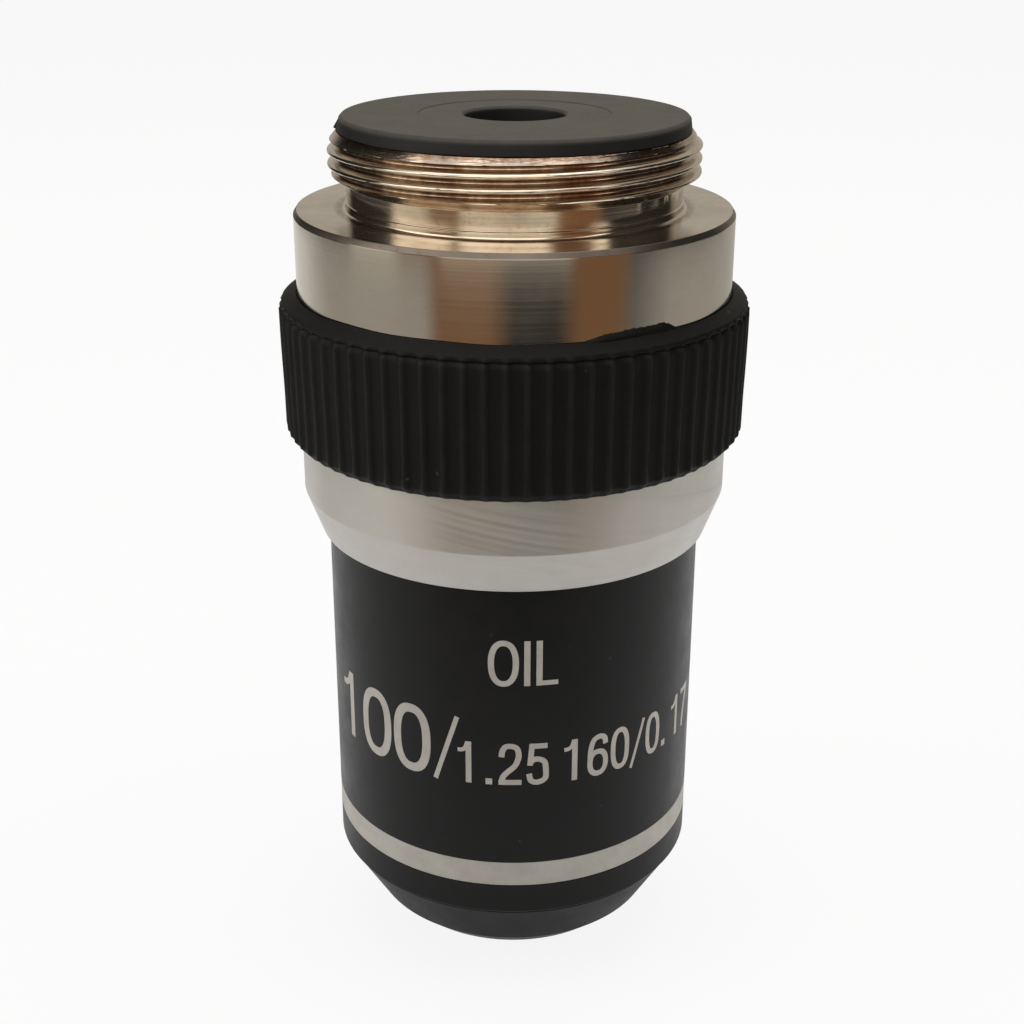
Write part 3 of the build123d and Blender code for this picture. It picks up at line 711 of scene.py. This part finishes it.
def floor():
    """White paper: it shows white to the camera; in the metal it glows with painted shadow, darker away
    from the object towards the front as a camera's shadow, and darker close round the object as its own
    shadow."""
    mat = bpy.data.materials.new("floor_pale")
    mat.use_nodes = True
    tree = mat.node_tree
    tree.nodes.clear()
    point, x, y, z, radius = millimetres(tree)
    # painted shadow in reflections: darker from 30 to 75 mm out towards the front, where a camera and its
    # user shade the paper
    far = mapped(tree, radius, 30.0, 75.0, 0.0, 1.0)
    side = maths(tree, "ABSOLUTE", azimuth(tree, x, y))
    front = mapped(tree, side, math.radians(25), math.radians(60), 1.0, 0.0)
    shade = maths(tree, "SUBTRACT", 0.85, maths(tree, "MULTIPLY", maths(tree, "MULTIPLY", far, front), 0.6))
    # painted contact shadow: darker within about 22 mm of the axis
    shade = maths(tree, "MULTIPLY", shade, mapped(tree, radius, 9.0, 22.0, 0.45, 1.0))
    path = tree.nodes.new("ShaderNodeLightPath")
    seen = maths(tree, "ADD", path.outputs["Is Camera Ray"], path.outputs["Is Transmission Ray"],
                 clamp=True)
    level = maths(tree, "MAXIMUM", seen, shade)
    matt = node(tree, "ShaderNodeBsdfDiffuse", Color=(0.8, 0.8, 0.8, 1))
    white = node(tree, "ShaderNodeEmission", Color=(1, 1, 1, 1), Strength=level)
    bright = maths(tree, "ADD", maths(tree, "MULTIPLY", seen, 0.88), path.outputs["Is Glossy Ray"],
                   clamp=True)
    mix = tree.nodes.new("ShaderNodeMixShader")
    tree.links.new(bright, mix.inputs[0])
    tree.links.new(matt.outputs[0], mix.inputs[1])
    tree.links.new(white.outputs[0], mix.inputs[2])
    out = tree.nodes.new("ShaderNodeOutputMaterial")
    tree.links.new(mix.outputs[0], out.inputs[0])
    size = 3000
    stage_object("floor", [(-size, -size, 0), (size, -size, 0), (size, size, 0), (-size, size, 0)],
                 [(0, 1, 2, 3)], mat)


def surroundings():
    """White round about, dimmer in its light towards the front, as a camera and its user leave it."""
    world = bpy.data.worlds.new("studio")
    bpy.context.scene.world = world
    world.use_nodes = True
    tree = world.node_tree
    tree.nodes.clear()
    path = tree.nodes.new("ShaderNodeLightPath")
    place = tree.nodes.new("ShaderNodeTexCoord")
    split = node(tree, "ShaderNodeSeparateXYZ", Vector=place.outputs["Generated"])
    front = mapped(tree, split.outputs["Y"], -1.0, 0.2, 0.3, 0.7)
    glow = node(tree, "ShaderNodeBackground", Color=(1.0, 0.985, 0.96, 1), Strength=front)
    white = node(tree, "ShaderNodeBackground", Color=(1, 1, 1, 1), Strength=1.0)
    seen = maths(tree, "ADD", path.outputs["Is Camera Ray"], path.outputs["Is Glossy Ray"], clamp=True)
    seen = maths(tree, "ADD", seen, path.outputs["Is Transmission Ray"], clamp=True)
    mix = tree.nodes.new("ShaderNodeMixShader")
    tree.links.new(seen, mix.inputs[0])
    tree.links.new(glow.outputs[0], mix.inputs[1])
    tree.links.new(white.outputs[0], mix.inputs[2])
    out = tree.nodes.new("ShaderNodeOutputWorld")
    tree.links.new(mix.outputs[0], out.inputs[0])


def area(name, place, target, size, watts, color=(1, 1, 1)):
    data = bpy.data.lights.new(name, "AREA")
    data.shape = "RECTANGLE"
    data.size, data.size_y = size[0] * MM, size[1] * MM
    data.energy = watts
    data.color = color
    obj = bpy.data.objects.new(name, data)
    bpy.context.scene.collection.objects.link(obj)
    start, end = np.array(place, float) * MM, np.array(target, float) * MM
    obj.location = start
    obj.rotation_euler = Vector(end - start).to_track_quat("-Z", "Y").to_euler()


def camera():
    data = bpy.data.cameras.new("camera")
    data.sensor_width = 36.0
    data.lens = 56.155
    data.shift_x = -1.59 / 1024
    data.clip_start, data.clip_end = 0.005, 20
    obj = bpy.data.objects.new("camera", data)
    bpy.context.scene.collection.objects.link(obj)
    obj.location = (0, -87.885 * MM, 62.031 * MM)
    obj.rotation_mode = "XYZ"
    down = Matrix.Rotation(math.radians(90 - 22.059), 4, "X")
    roll = Matrix.Rotation(math.radians(0.176), 4, "Z")
    obj.rotation_euler = (down @ roll).to_euler()
    bpy.context.scene.camera = obj


floor()
surroundings()
PALE, BROWN, DARK, CREAM = (0.50, 0.47, 0.41), (0.27, 0.14, 0.065), (0.018, 0.017, 0.016), (0.95, 0.88,
                        0.72)
GLINT = (2.2, 2.1, 1.9)
flag_ring("flags_low", 0.5, 25, [
    (-130, (0.8, 0.78, 0.72)), (-105, PALE), (-44, PALE), (-36, BROWN), (-12, BROWN), (0, DARK),
    (20, DARK), (32, BROWN),
    (50, BROWN), (60, (0.2, 0.19, 0.17)), (82, PALE), (170, PALE)])
flag_ring("flags_middle", 25, 62, [
    (-150, PALE), (-140, DARK), (-88, DARK), (-82, CREAM), (-60, CREAM), (-54, BROWN), (-37, BROWN),
    (-33, CREAM), (24, CREAM),
    (30, BROWN), (54, BROWN), (60, DARK), (124, DARK), (134, PALE)])
flag_ring("flags_high", 62, 165, [
    (-150, PALE), (-140, DARK), (-88, DARK), (-82, GLINT), (-44, GLINT), (-38, BROWN), (-33, GLINT),
    (20, GLINT),
    (25, BROWN), (50, BROWN), (52, GLINT), (60, GLINT), (64, DARK), (124, DARK), (134, PALE)])
area("soft_top", (0, 20, 330), (0, 0, 25), (260, 260), 0.34)
area("soft_left", (-260, -60, 160), (0, 0, 28), (160, 200), 0.24)
area("soft_right", (260, -20, 150), (0, 0, 28), (160, 200), 0.18)
camera()
bpy.context.scene.view_settings.view_transform = "Standard"
